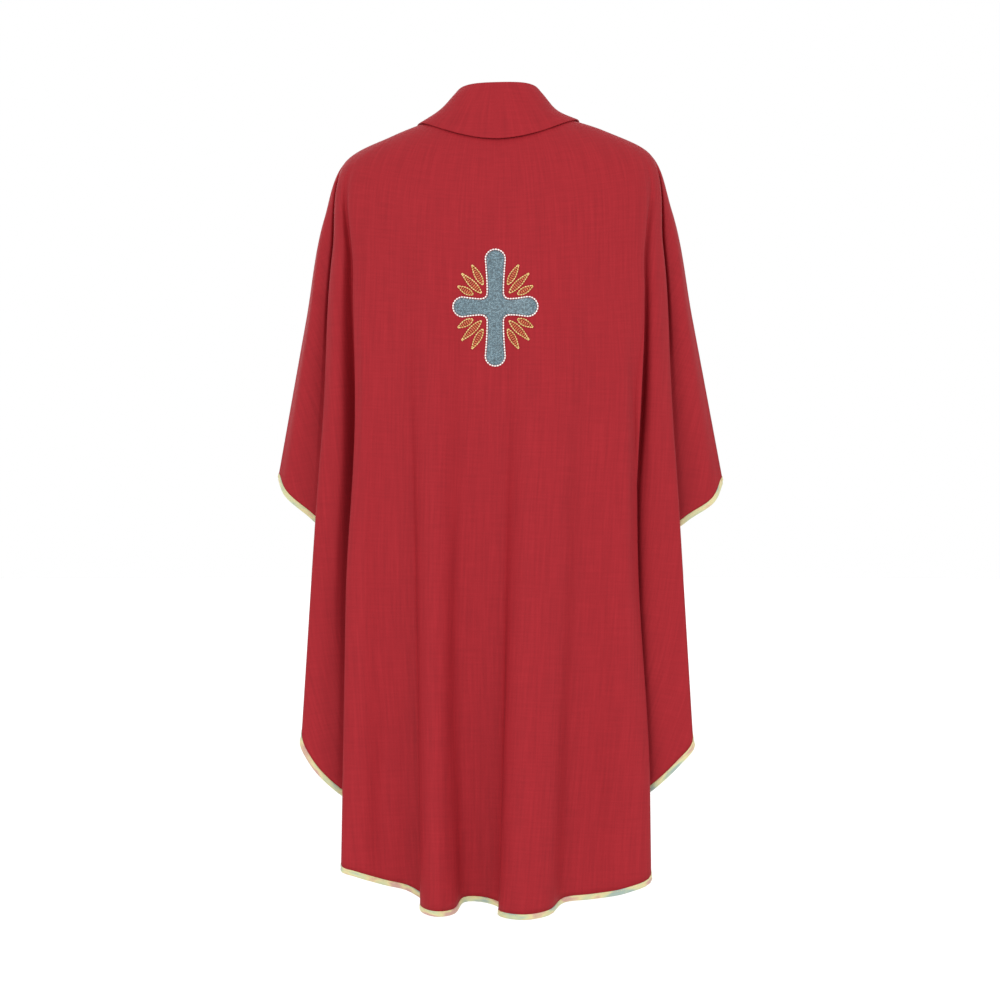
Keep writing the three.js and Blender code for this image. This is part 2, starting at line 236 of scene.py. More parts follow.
# %% [markdown]
# A smooth curve through a few points is the heart of the cloth. At each point its slope is the
# average of the slopes on both sides, the nearer one counting more. The same function runs a
# fold line down from its stations, and then the cloth across from line to line.

# %% Smooth curves
def turned(value, power):
    return math.copysign(abs(value) ** power, value)


def around(turn, back, side, front):
    """A value that runs smoothly from the back of a ring through its sides to its front."""
    c = math.cos(math.radians(turn))
    return side + (back - front) / 2 * c + ((back + front) / 2 - side) * c * c


def ring_point(ring, turn):
    x = ring["half"] * turned(math.sin(math.radians(turn)), ring["square"])
    backwards = turned(math.cos(math.radians(turn)), ring["square"])
    y = ring["back"] * backwards if backwards > 0 else -ring["front"] * backwards
    z = around(turn, ring["z_back"], ring["z_side"], ring["z_front"]) + SHOULDER_TILT * x
    return np.array([x, y, z])


def outward(turn):
    return np.array([math.sin(math.radians(turn)), -math.cos(math.radians(turn)), 0.0])


def curve_shares(s):
    """Shares of the start, the end and the slopes at both, at a share s of one stretch."""
    return 2 * s**3 - 3 * s**2 + 1, 3 * s**2 - 2 * s**3, s**3 - 2 * s**2 + s, s**3 - s**2


def smooth_through(points, steps):
    """Points along the smooth curve through points[0], points[1], ..., and where each one lies."""
    points = np.asarray(points, float)
    gaps = np.diff(points, axis=0)
    lengths = np.linalg.norm(gaps, axis=-1, keepdims=True)
    rates = gaps / lengths
    slopes = np.empty_like(points)
    slopes[0], slopes[-1] = rates[0], rates[-1]
    before, after = lengths[:-1], lengths[1:]
    slopes[1:-1] = (rates[:-1] * after + rates[1:] * before) / (before + after)
    curve, places = [], []
    for i, count in enumerate(steps):
        for s in np.arange(count) / count:
            from_start, from_end, bend_start, bend_end = curve_shares(s)
            start = from_start * points[i] + bend_start * lengths[i] * slopes[i]
            end = from_end * points[i + 1] + bend_end * lengths[i] * slopes[i + 1]
            curve.append(start + end)
            places.append(i + s)
    curve.append(points[-1])
    places.append(len(steps))
    return np.array(curve), np.array(places)


def dome_line(turn):
    """Neck, top of the shoulder and yoke, in millimetres."""
    neck, yoke = ring_point(NECK, turn), ring_point(YOKE, turn)
    rise = (outward(turn) * DOME_OUT + np.array([0, 0, DOME_UP])) * DOME_RISE
    return [neck, (neck + yoke) / 2 + rise, yoke]


def fold_line(turn, x, y, z, tuck=0):
    """The stations of one fold line, from the neck to the hem, in millimetres."""
    dome, hem = dome_line(turn), np.array([x, y, z], float)
    inwards = np.array([0, -math.copysign(tuck, y), 0])
    below = [
        dome[-1] + (hem - dome[-1]) * row["share"] + outward(turn) * row["out"] + inwards * row["tucked"]
        for row in STAND_OUT
    ]
    return dome + below + [hem]


# %% [markdown]
# Cloth never hangs quite as smoothly as a few fold lines say. A crease is a soft ridge or trough
# that runs down the panel. They are listed one by one, as uneven as in worn cloth. Where one layer
# hangs behind the edge of another, the hidden layer dips in a little beside that edge, which
# gives the thin dark line that one sees there.

# %% Creases
# Each row: x at the upper and the lower end, z at both, how far it stands out, and its width
# Creases of the back
BACK_CREASES = [
    (-205, -212, -240, -620, -1.6, 12),  # under the left shoulder
    (-150, -160, -130, -480, 1.0, 18),
    (-78, -92, -180, -520, -1.1, 11),
    (-54, -66, -200, -640, -1.2, 10),
    (-20, -24, -460, -1050, 0.8, 14),
    (-60, -66, -460, -1260, -7.5, 13),  # beside the left loop
    (-88, -92, -320, -860, 2.0, 11),  # ridge at its left
    (40, 44, -360, -940, 2.2, 12),
    (66, 92, -300, -1000, -3.2, 16),  # upper end of the right valley
    (96, 92, -420, -900, 1.0, 15),
    (184, 190, -110, -420, -2.6, 13),  # valley from the right shoulder
    (208, 222, -150, -640, -8.0, 17),  # into the right valley
    (162, 166, -160, -520, 1.0, 14),
    (176, 174, -620, -930, 2.6, 10),  # short ridge on the right
    (150, 146, -880, -1230, -3.0, 11),
    (-176, -184, -860, -1230, -3.4, 9),
    (-205, -212, -700, -1200, 0.9, 12),
    (-140, -150, -700, -1100, -0.8, 12),
    (-262, -282, -230, -600, -1.4, 10),  # creases of the sleeves
    (-300, -330, -330, -600, 1.2, 12),
    (262, 292, -210, -600, -1.4, 9),
    (300, 330, -360, -600, 1.2, 12),
    (-276, -284, -560, -960, 1.0, 10),  # creases of the middle tiers
    (-256, -262, -640, -1030, -1.0, 8),
    (262, 268, -660, -1010, -1.0, 9),
]
# Creases of the front, like those of the back but not the same
FRONT_CREASES = [
    (-96, -112, -210, -700, 1.2, 18),
    (-58, -66, -300, -860, -1.3, 16),
    (-22, -18, -420, -1080, 0.9, 14),
    (14, 22, -260, -1000, -1.3, 17),
    (58, 52, -480, -1120, 0.8, 13),
    (92, 108, -240, -760, -1.2, 18),
    (140, 152, -520, -1100, 1.2, 16),
    (-150, -162, -560, -1090, -1.4, 15),
    (-188, -196, -420, -1000, 0.9, 12),
    (186, 206, -220, -680, -1.4, 16),
    (-210, -270, -200, -560, -1.3, 15),
    (240, 302, -230, -600, 1.2, 15),
    (246, 256, -620, -960, -1.0, 12),
    (-262, -258, -600, -940, 1.0, 12),
]
# Shifts: some fold lines hang a little aside or nearer to the layer behind them at mid height.
# Each row: the turns that shift, the height that it runs over, and how far along X and Y
BACK_SHIFTS = [
    ((-63.4, -47), (-110, -760), 13, 0),  # left edge of the back tier
    ((-79, -65.5), (-90, -640), 0, 14),  # left middle tier
    ((-90, -80.5), (-90, -640), 0, -8),  # left sleeve
    ((46, 63.4), (-230, -1050), -17, 5),  # right edge of the back tier
    ((65.5, 79), (-70, -640), 0, 14),  # right middle tier
    ((80.5, 90), (-70, -640), 0, -8),  # right sleeve
]
FRONT_SHIFTS = [
    ((101, 114.5), (-90, -600), 0, -9),  # right middle tier
    ((245.5, 259), (-90, -600), 0, -9),  # left middle tier
]
# Each row of the dips: the turns of an edge, those of the layer behind it, the height that the
# dip runs over, how deep that layer dips beside the edge, and how wide the dip is
BACK_DIPS = [
    ((-60, -54), (-68, -63.5), (-320, -900), 6, 16),
    ((-60, -54), (-68, -63.5), (-260, -1120), 3, 8),
    ((-76, -69), (-86, -80), (20, -360), 7, 4.5),
    ((-76, -69), (-86, -80), (-20, -660), 4, 3.2),
    ((54, 60), (63.5, 68), (-200, -760), 5, 5),
    ((54, 60), (63.5, 68), (-300, -1120), 2.5, 4),
    ((69, 76), (80, 86), (20, -380), 7, 4.5),
    ((69, 76), (80, 86), (-20, -660), 4, 3.2),
]
FRONT_DIPS = [
    ((122, 128), (114, 117), (-200, -1060), 12, 8),
    ((104, 111), (94, 100), (-60, -620), 9, 5),
    ((232, 238), (243, 246), (-220, -1060), 12, 8),
    ((249, 256), (260, 266), (-60, -620), 9, 5),
]
print("creases:", len(BACK_CREASES), "on the back,", len(FRONT_CREASES), "on the front")

# %% [markdown]
# Now the lines become a panel. The curve runs down each fold line, then across from line to
# line, and the creases, shifts and dips move the points of that grid a little.

# %% Panels as grids
# Rows between neighbouring stations from the neck down, and columns between fold lines
ROWS = (10, 12, 20, 28, 44)
COLUMNS_BETWEEN = 5
FINE_COLUMNS = 15


def grid_normals(grid, closed=False):
    """Outward normals of a grid [column, row], with no Y on the arm seams of an open one."""
    if closed:
        across = np.roll(grid, -1, axis=0) - np.roll(grid, 1, axis=0)
    else:
        across = np.gradient(grid, axis=0)
    down = np.gradient(grid, axis=1)
    normals = np.cross(down, across)
    if not closed:
        normals[[0, -1], :, 1] = 0
    return normals / np.linalg.norm(normals, axis=-1, keepdims=True)


def crease_depth(grid, creases):
    """How far each point of the grid moves along its normal, in millimetres."""
    x, z = grid[..., 0], grid[..., 2]
    depth = np.zeros(x.shape)
    for x_top, x_end, z_top, z_end, out, wide in creases:
        share = np.clip((z - z_top) / (z_end - z_top), 0, 1)
        line = x_top + (x_end - x_top) * share
        down = np.sin(np.pi * share) ** 2
        depth += out * down * np.exp(-(((x - line) / wide) ** 2))
    return depth


def unevenness(grid):
    """The slight wander of cloth that has been worn and pressed, in millimetres."""
    u, v = grid[..., 0], grid[..., 2]
    height = 0.22
    return height * (
        np.sin(u / 23 + 0.8 * np.sin(v / 210)) * np.cos(v / 260 + 0.4)
        + 0.8 * np.sin(u / 13 + v / 420 + 1.3) * np.sin(v / 190 + u / 160)
    )


def swell(values, ends):
    """A smooth swell between two ends: 0 at both and 1 half-way."""
    return np.sin(np.pi * np.clip((values - ends[0]) / (ends[1] - ends[0]), 0, 1)) ** 2


def shifted(grid, turns, shifts):
    """Move whole fold lines aside (x) or towards the layer behind them (y)."""
    moves = np.zeros(grid.shape)
    for shifted_turns, heights, x, y in shifts:
        share = swell(turns, shifted_turns)[:, None] * swell(grid[..., 2], heights)
        moves += share[..., None] * np.array([x, y, 0])
    return grid + moves


def dip_depth(grid, turns, dips):
    """How far each point dips in because another layer's edge passes just in front of it."""
    depth = np.zeros(grid.shape[:2])
    for edge_turns, behind_turns, heights, inwards, wide in dips:
        edge = grid[(turns >= edge_turns[0]) & (turns <= edge_turns[1])]
        behind = (turns > behind_turns[0]) & (turns < behind_turns[1])
        outermost = np.argmax(np.abs(edge[..., 0]), axis=0)
        edge_x = edge[outermost, np.arange(edge.shape[1]), 0]
        edge_z = edge[outermost, np.arange(edge.shape[1]), 2]
        x, z = grid[behind][..., 0], grid[behind][..., 2]
        line = np.interp(z, edge_z[::-1], edge_x[::-1])
        across = swell(turns[behind], behind_turns)[:, None] ** 0.25
        down = swell(z, heights) ** 0.35
        depth[behind] += inwards * across * down * np.exp(-(((x - line) / wide) ** 4))
    return depth


def columns_between(folds, dips):
    """Columns of the grid between neighbouring fold lines: more of them where a layer dips."""
    counts = []
    for first, last in zip(folds[:-1], folds[1:]):
        in_dip = any(behind[0] <= first[0] and last[0] <= behind[1] for _, behind, *_ in dips)
        counts.append(FINE_COLUMNS if in_dip else COLUMNS_BETWEEN)
    return counts


def panel_grid(folds, creases, shifts, dips):
    columns = columns_between(folds, dips)
    lines = np.array([fold_line(*fold) for fold in folds])
    rows, _ = smooth_through(lines.transpose(1, 0, 2), ROWS)
    grid, places = smooth_through(rows.transpose(1, 0, 2), columns)
    turns = np.interp(places, np.arange(len(folds)), [fold[0] for fold in folds])
    grid = shifted(grid, turns, shifts)
    depth = crease_depth(grid, creases) + unevenness(grid)
    depth[[0, -1]] = 0
    depth[:, 0] = 0
    inwards = np.array([0, -np.sign(grid[len(grid) // 2, 0, 1]), 0])
    dipped = inwards * dip_depth(grid, turns, dips)[..., None]
    return grid + grid_normals(grid) * depth[..., None] + dipped


def part_at_seams(grid, gap=0.3):
    """Leave a hair's gap between the panels along the arm seams."""
    side = np.sign(grid[len(grid) // 2, 0, 1])
    grid[[0, -1], :, 1] = side * gap / 2
    return grid


# %% [markdown]
# A grid becomes a mesh with one quad for each cell. The flat places go into its UV map, so that
# the weave follows the cloth as it was cut, and Solidify gives it the thickness of real cloth.

# %% Meshes from grids
def save_flat(mesh, flat):
    """Write the flat places of a grid to the UV map, in metres."""
    corner = np.empty(len(mesh.loops), int)
    mesh.loops.foreach_get("vertex_index", corner)
    layer = mesh.uv_layers.get("flat_cut") or mesh.uv_layers.new(name="flat_cut")
    layer.data.foreach_set("uv", (flat.reshape(-1, 2)[corner] * MM).ravel())


def new_piece(name, points, faces):
    """A smooth-shaded mesh object from points in millimetres."""
    mesh = bpy.data.meshes.new(name)
    mesh.from_pydata((points * MM).tolist(), [], faces)
    mesh.polygons.foreach_set("use_smooth", [True] * len(mesh.polygons))
    piece = bpy.data.objects.new(name, mesh)
    bpy.context.scene.collection.objects.link(piece)
    return piece


def grid_mesh(name, grid, flat=None, wrap_columns=False, wrap_rows=False):
    """A mesh of quads from a grid in millimetres, facing along the grid's normals."""
    columns, rows = grid.shape[:2]
    index = np.arange(columns * rows).reshape(columns, rows)
    right = np.roll(index, -1, axis=0) if wrap_columns else index[1:]
    left = index if wrap_columns else index[:-1]
    if wrap_rows:
        quads = np.stack([left, np.roll(left, -1, 1), np.roll(right, -1, 1), right], axis=-1)
    else:
        quads = np.stack([left[:, :-1], left[:, 1:], right[:, 1:], right[:, :-1]], axis=-1)
    piece = new_piece(name, grid.reshape(-1, 3), quads.reshape(-1, 4).tolist())
    if flat is not None:
        save_flat(piece.data, flat)
    piece.data.validate()
    return piece


def apply_modifier(piece, kind, **settings):
    bpy.ops.object.select_all(action="DESELECT")
    piece.select_set(True)
    bpy.context.view_layer.objects.active = piece
    modifier = piece.modifiers.new(kind.title(), kind)
    for key, value in settings.items():
        setattr(modifier, key, value)
    bpy.ops.object.modifier_apply(modifier=modifier.name)


# %% [markdown]
# The weave has to run as it did in the flat cut. Blender's unwrap lays the draped panel flat with
# the least stretch, which undoes the hanging: the result is the cutter's pattern. It is turned so
# that the grain runs down the middle of the panel, and scaled to its true area.

# %% The flat cut
UNWRAP_STEPS = 5


def unwrap_cut(piece, grid):
    """Lay the draped panel flat again, as it was cut: a place in millimetres for each grid point."""
    bpy.ops.object.select_all(action="DESELECT")
    piece.select_set(True)
    bpy.context.view_layer.objects.active = piece
    piece.data.uv_layers.new(name="flat_cut")
    bpy.ops.object.mode_set(mode="EDIT")
    bpy.ops.mesh.select_all(action="SELECT")
    bpy.ops.uv.unwrap(method="MINIMUM_STRETCH", margin=0.0, iterations=UNWRAP_STEPS)
    bpy.ops.object.mode_set(mode="OBJECT")
    mesh = piece.data
    corner = np.empty(len(mesh.loops), int)
    mesh.loops.foreach_get("vertex_index", corner)
    uv = np.empty(len(mesh.loops) * 2)
    mesh.uv_layers["flat_cut"].data.foreach_get("uv", uv)
    flat = np.empty((len(mesh.vertices), 2))
    flat[corner] = uv.reshape(-1, 2)
    flat = flat.reshape(*grid.shape[:2], 2)
    middle = len(grid) // 2
    down = flat[middle, -1] - flat[middle, 0]
    down /= np.linalg.norm(down)
    across = np.array([-down[1], down[0]])
    if np.dot(flat[-1, -1] - flat[0, -1], across) < 0:
        across = -across
    flat = np.stack([flat @ across, -(flat @ down)], axis=-1)
    return flat * math.sqrt(grid_area(grid) / grid_area(flat))


def grid_area(grid):
    """The area of a grid of quads, in square millimetres."""
    if grid.shape[-1] == 2:
        grid = np.concatenate([grid, np.zeros((*grid.shape[:2], 1))], axis=-1)
    one = np.cross(grid[1:, :-1] - grid[:-1, :-1], grid[:-1, 1:] - grid[:-1, :-1])
    two = np.cross(grid[:-1, 1:] - grid[1:, 1:], grid[1:, :-1] - grid[1:, 1:])
    return float(np.linalg.norm(one, axis=-1).sum() + np.linalg.norm(two, axis=-1).sum()) / 2


# %% [markdown]
# With its helpers ready, each panel takes four steps: draw the draped grid, lay it flat for its
# weave, give it the thickness of cloth, and measure its cut.

# %% Front and back cloth
CLOTH_THICKNESS = 1.3 * MM

panel_grids = {}
cloth = {}
for side, folds, creases, shifts, dips in (
    ("back", BACK_FOLDS, BACK_CREASES, BACK_SHIFTS, BACK_DIPS),
    ("front", FRONT_FOLDS, FRONT_CREASES, FRONT_SHIFTS, FRONT_DIPS),
):
    grid = part_at_seams(panel_grid(folds, creases, shifts, dips))
    piece = grid_mesh(f"{side}_cloth", grid)
    flat = unwrap_cut(piece, grid)
    save_flat(piece.data, flat)
    apply_modifier(piece, "SOLIDIFY", thickness=CLOTH_THICKNESS, offset=0, use_even_offset=False)
    size = np.ptp(flat.reshape(-1, 2), axis=0) * MM
    area = grid_area(flat) * MM * MM
    panel_grids[side] = {
        "grid": grid, "normals": grid_normals(grid), "size": tuple(map(float, size)), "area": area
    }
    cloth[side] = piece
    print(side, "cut", size.round(3), "area", round(area, 3), "faces", len(piece.data.polygons))

# %% [markdown]
# The hem is bound with a narrow pale gold tape, folded over the raw edge and stitched through.
# It is a flat tube that runs along the hem line: its section is drawn once, and placed at every
# column of the panel, across the cloth and away from it.

# %% Hem binding
BINDING_SECTION = [
    (-1.0, 0.95), (0.2, 1.35), (2.0, 1.2), (3.8, 1.1), (5.6, 1.2), (6.8, 0.95),
    (7.3, 0.0),
    (6.8, -0.95), (5.6, -1.2), (3.8, -1.1), (2.0, -1.2), (0.2, -1.35), (-1.0, -0.95),
]
BINDING_GIRTH = 22


def hem_frame(panel):
    """Points along the hem, with the directions away from the cloth and out of it."""
    hem = panel["grid"][:, -1]
    normals = panel["normals"][:, -1]
    along = np.gradient(hem, axis=0)
    along /= np.linalg.norm(along, axis=1, keepdims=True)
    away = np.cross(along, normals)
    away /= np.linalg.norm(away, axis=1, keepdims=True)
    away *= np.sign(-away[len(away) // 2, 2])
    return hem, away, normals


def close_and_turn_out(piece, end_rings=()):
    """Close the given rings of points with a face each, and turn every face outwards."""
    shape = bmesh.new()
    shape.from_mesh(piece.data)
    shape.verts.ensure_lookup_table()
    for ring in end_rings:
        shape.faces.new([shape.verts[i] for i in ring])
    bmesh.ops.recalc_face_normals(shape, faces=shape.faces)
    shape.to_mesh(piece.data)
    shape.free()


bindings = {}
for side, panel in panel_grids.items():
    hem, away, normals = hem_frame(panel)
    tube = np.stack([hem + away * down + normals * out for down, out in BINDING_SECTION], axis=1)
    length = np.concatenate([[0], np.cumsum(np.linalg.norm(np.diff(hem, axis=0), axis=1))])
    girth = np.linspace(0, BINDING_GIRTH, len(BINDING_SECTION))
    flat = np.stack(np.broadcast_arrays(length[:, None], girth[None, :]), axis=-1)
    binding = grid_mesh(f"hem_binding_{side}", tube, flat, wrap_rows=True)
    corners = np.arange(tube.shape[0] * tube.shape[1]).reshape(tube.shape[:2]).tolist()
    close_and_turn_out(binding, (corners[0], corners[-1][::-1]))
    bindings[side] = binding
    print(side, "hem is", round(length[-1] * MM, 3), "m long")

# %% [markdown]
# Sewing is many small copies of one stitch: a slim spindle that rises out of the cloth and dips
# back in. Each copy is placed by its middle, its direction and the way out of the cloth, and all
# the copies of one line are joined in one mesh, which is quick to render and to export.

# %% Stitches
def spindle(length, width, height, sides=6, stations=5):
    """One stitch along X, raised along Z: points and faces."""
    points, faces = [], []
    for i in range(stations):
        share = (i + 0.5) / stations
        fullness = math.sin(math.pi * share) ** 0.5
        lift = height * math.sin(math.pi * share)
        for k in range(sides):
            angle = 2 * math.pi * k / sides
            points.append((
                (share - 0.5) * length,
                width / 2 * fullness * math.cos(angle),
                lift + width / 2 * fullness * math.sin(angle) * 0.8,
            ))
    points += [(-length / 2, 0, 0), (length / 2, 0, 0)]
    for i in range(stations - 1):
        for k in range(sides):
            n = (k + 1) % sides
            faces.append((i * sides + k, (i + 1) * sides + k, (i + 1) * sides + n, i * sides + n))
    start, end = stations * sides, stations * sides + 1
    last = (stations - 1) * sides
    for k in range(sides):
        n = (k + 1) % sides
        faces.append((start, k, n))
        faces.append((end, last + n, last + k))
    return np.array(points), faces


def sew(name, places, width, height):
    """Join one stitch at each place: (middle, direction, out, length), in millimetres."""
    points, faces = [], []
    for middle, direction, out, length in places:
        x = direction / np.linalg.norm(direction)
        z = out - x * np.dot(out, x)
        z /= np.linalg.norm(z)
        stitch, stitch_faces = spindle(length, width, height)
        start = len(points)
        points.extend(middle + stitch @ np.array([x, np.cross(z, x), z]))
        faces.extend([start + corner for corner in face] for face in stitch_faces)
    return new_piece(name, np.array(points), faces)


def stitches_along(curve, outs, pitch, share=0.8):
    """Places of even stitches along a line of points."""
    length = np.concatenate([[0], np.cumsum(np.linalg.norm(np.diff(curve, axis=0), axis=1))])
    count = max(1, round(length[-1] / pitch))
    step = length[-1] / count
    places = []
    for i in range(count):
        at = [np.interp(step * (i + s), length, curve[:, k]) for s in (0.1, 0.9) for k in range(3)]
        start, end = np.array(at[:3]), np.array(at[3:])
        out = np.array([np.interp(step * (i + 0.5), length, outs[:, k]) for k in range(3)])
        places.append(((start + end) / 2, end - start, out, step * share))
    return places


HEM_STITCH_PITCH = 3.4
hem_stitches = {}
for side, panel in panel_grids.items():
    hem, away, normals = hem_frame(panel)
    places = stitches_along(hem + away * 1.2 + normals * 1.25, normals, HEM_STITCH_PITCH)
    hem_stitches[side] = sew(f"hem_stitches_{side}", places, width=0.7, height=0.25)
    print(side, "hem has", len(places), "stitches")

# %% [markdown]
# The collar is one folded band. It stands up from the neck opening, rolls over and falls outside
# over the shoulders, wider at the front than at the back. It is a closed ring of smooth sections,
# one every two degrees.

# %% Collar
COLLAR_COLUMNS = 180
COLLAR_ROWS = (8, 4, 4, 12, 12)
COLLAR_THICKNESS = 2.3 * MM


def on_shoulders(turn, distance):
    """A point of the panels at some distance down from the neck, and the way out of the cloth."""

    def at(some_turn, some_distance):
        dome = np.array(dome_line(some_turn))
        first = dome[1] - dome[0]
        second = dome[2] - dome[1]
        first_length, second_length = np.linalg.norm(first), np.linalg.norm(second)
        slope_start = first / first_length
        slope_end = (slope_start * second_length + second / second_length * first_length) / (
            first_length + second_length
        )
        from_start, from_end, bend_start, bend_end = curve_shares(some_distance / first_length)
        start = from_start * dome[0] + bend_start * first_length * slope_start
        return start + from_end * dome[1] + bend_end * first_length * slope_end

    down = at(turn, distance + 1) - at(turn, distance - 1)
    across = at(turn + 1, distance) - at(turn - 1, distance)
    normal = np.cross(down, across)
    return at(turn, distance), normal / np.linalg.norm(normal)


def collar_section(turn):
    out = outward(turn)
    stand = ring_point(NECK, turn) - out * COLLAR["inset"] + np.array([0, 0, COLLAR["lift"]])
    roll = ring_point(ROLL, turn)
    point, normal = on_shoulders(turn, around(turn, COLLAR["back"], COLLAR["side"], COLLAR["front"]))
    fall = point + normal * around(turn, COLLAR["off"], COLLAR["off_side"], COLLAR["off"])
    roll_low = roll - np.array([0, 0, COLLAR["radius"]])
    roll_in, roll_out = roll_low - out * COLLAR["radius"], roll_low + out * COLLAR["radius"]
    right = max(0.0, math.sin(math.radians(turn))) ** 2
    bow = around(turn, COLLAR["bow"], COLLAR["bow_side"], COLLAR["bow"]) + COLLAR["bow_right"] * right
    middle = roll_out + (fall - roll_out) * (0.5 + COLLAR["down_right"] * right) + out * bow
    return [stand, roll_in, roll, roll_out, middle, fall]


turns = np.arange(COLLAR_COLUMNS) * 360 / COLLAR_COLUMNS
sections = np.array([collar_section(turn) for turn in turns])
collar_grid = smooth_through(sections.transpose(1, 0, 2), COLLAR_ROWS)[0].transpose(1, 0, 2)
# The fall wanders a little in and out, the more the nearer to its edge
wander = 0.9 * np.sin(np.radians(turns) * 5 + 1.0) + 0.6 * np.sin(np.radians(turns) * 11)
fall_share = np.clip(np.arange(collar_grid.shape[1]) / collar_grid.shape[1] - 0.35, 0, None)
wandering = (wander[:, None] * fall_share)[..., None]
collar_grid = collar_grid + grid_normals(collar_grid, closed=True) * wandering

# %% The collar's flat band
row_lengths = np.linalg.norm(np.diff(collar_grid, axis=1), axis=-1)
collar_down = np.concatenate([np.zeros((COLLAR_COLUMNS, 1)), np.cumsum(row_lengths, axis=1)], axis=1)
collar_round = np.linalg.norm(np.roll(collar_grid, -1, axis=0) - collar_grid, axis=-1)
collar_length = float(collar_round.mean(axis=1).sum())
collar_across = np.broadcast_to(turns[:, None] / 360 * collar_length, collar_down.shape)
collar_flat = np.stack([collar_across, -collar_down], axis=-1)
collar = grid_mesh("collar_cloth", collar_grid, collar_flat, wrap_columns=True)
apply_modifier(collar, "SOLIDIFY", thickness=COLLAR_THICKNESS, offset=0)
apply_modifier(collar, "BEVEL", width=0.7 * MM, segments=2, limit_method="ANGLE")

# %% [markdown]
# The embroidery is a plain cross with round ends, filled with rows of satin thread over padding,
# a white stitched line round it, and small gold rays in its four angles. The filling is laid on
# the cloth: its outline is drawn once, and every point finds the cloth's surface below it.

# %% The cloth under the embroidery
# Its middle on the back, the arms' lengths, and the half widths of their waists and round ends
CROSS = {"x": -4, "z": -298, "up": 88, "down": 90, "side": 64, "waist": 11, "bulb": 14, "corner": 12}
SIDE_STEPS, END_STEPS, CORNER_STEPS = 24, 40, 16
back_tree = BVHTree.FromObject(cloth["back"], bpy.context.evaluated_depsgraph_get())


def cloth_under(x, z):
    """The back's outer surface at a place, and the way out of it, in millimetres."""
    place, normal, _, _ = back_tree.ray_cast(Vector((x * MM, -1, z * MM)), Vector((0, 1, 0)))
    return np.array(place) / MM, np.array(normal)


def quadratic(start, middle, end, steps):
    s = (np.arange(steps) / steps)[:, None]
    return (1 - s) ** 2 * np.array(start) + 2 * s * (1 - s) * np.array(middle) + s**2 * np.array(end)


def cross_outline(grow=0.0, spacing=1.6):
    """The outline, anticlockwise from the wearer's right arm, evenly spaced, in millimetres."""
    waist, bulb, corner = CROSS["waist"] + grow, CROSS["bulb"] + grow, CROSS["corner"] - grow
    points = []
    for index, name in enumerate(("side", "up", "side", "down")):
        length = CROSS[name] + grow
        a = math.pi / 2 * index

        def place(along, aside, angle=a):
            return (
                along * math.cos(angle) - aside * math.sin(angle),
                along * math.sin(angle) + aside * math.cos(angle),
            )

        flare = CROSS[name] / 2
        shoulder = corner + waist
        bend = np.radians(np.linspace(-90, 90, END_STEPS, endpoint=False)) + a
        following = a + math.pi / 2
        points += [
            quadratic(
                place(shoulder, -waist), place(flare, -waist), place(length - bulb, -bulb), SIDE_STEPS
            ),
            np.array(place(length - bulb, 0)) + bulb * np.stack([np.cos(bend), np.sin(bend)], axis=1),
            quadratic(
                place(length - bulb, bulb), place(flare, waist), place(shoulder, waist), SIDE_STEPS
            ),
            quadratic(
                place(shoulder, waist), place(waist, waist), place(shoulder, -waist, following), CORNER_STEPS
            ),
        ]
    outline = np.concatenate(points)
    closed = np.concatenate([outline, outline[:1]])
    length = np.concatenate([[0], np.cumsum(np.linalg.norm(np.diff(closed, axis=0), axis=1))])
    count = int(round(length[-1] / spacing))
    even = np.arange(count) * length[-1] / count
    return np.stack([np.interp(even, length, closed[:, k]) for k in (0, 1)], axis=1)


# %% [markdown]
# The filling is one padded form: rings of its outline drawn in towards the middle, each a little
# higher, and an underside sunk in the cloth so that no gap shows.

# %% Satin filling of the cross
FILL_RISE = 1.5
FILL_LIFT = 0.15  # the filling's edge over the cloth
FILL_SINK = 0.3  # its underside in the cloth
FILL_RINGS = (1.0, 0.985, 0.95, 0.88, 0.76, 0.62, 0.48, 0.34, 0.2, 0.08)


def fill_height(share):
    """Padding rises quickly from the edge and is almost flat across the middle."""
    return FILL_RISE * min(1.0, (1 - share) / 0.12) ** 0.5 * (1 - 0.08 * share)


outline = cross_outline()
steps = len(outline)
points, faces = [], []
for share in FILL_RINGS:
    for corner in outline:
        surface, normal = cloth_under(CROSS["x"] + corner[0] * share, CROSS["z"] + corner[1] * share)
        points.append(surface + normal * (FILL_LIFT + fill_height(share)))
rings = len(FILL_RINGS)
surface, normal = cloth_under(CROSS["x"], CROSS["z"])
points.append(surface + normal * (FILL_LIFT + FILL_RISE))
top_centre = len(points) - 1
for corner in outline:
    surface, normal = cloth_under(CROSS["x"] + corner[0], CROSS["z"] + corner[1])
    points.append(surface - normal * FILL_SINK)
for i in range(steps):
    n = (i + 1) % steps
    for ring in range(rings - 1):
        faces.append((ring * steps + i, ring * steps + n, (ring + 1) * steps + n, (ring + 1) * steps + i))
    faces.append(((rings - 1) * steps + i, (rings - 1) * steps + n, top_centre))
    faces.append((i, top_centre + 1 + i, top_centre + 1 + n, n))
faces.append(tuple(top_centre + 1 + i for i in range(steps))[::-1])
cross_satin = new_piece("cross_satin", np.array(points), faces)
close_and_turn_out(cross_satin)
print("cross filling faces:", len(faces))

# %% [markdown]
# The white line and the gold rays are lines of separate stitches, sewn through the cloth after
# the filling. A ray is a pointed leaf: gold along its edge, orange across its middle.

# %% White stitched line round the cross
def on_cloth(line, rise):
    """Put a line of (x, z) places on the cloth: points and the ways out."""
    found = [cloth_under(CROSS["x"] + x, CROSS["z"] + z) for x, z in line]
    outs = np.array([normal for _, normal in found])
    return np.array([surface for surface, _ in found]) + outs * rise, outs


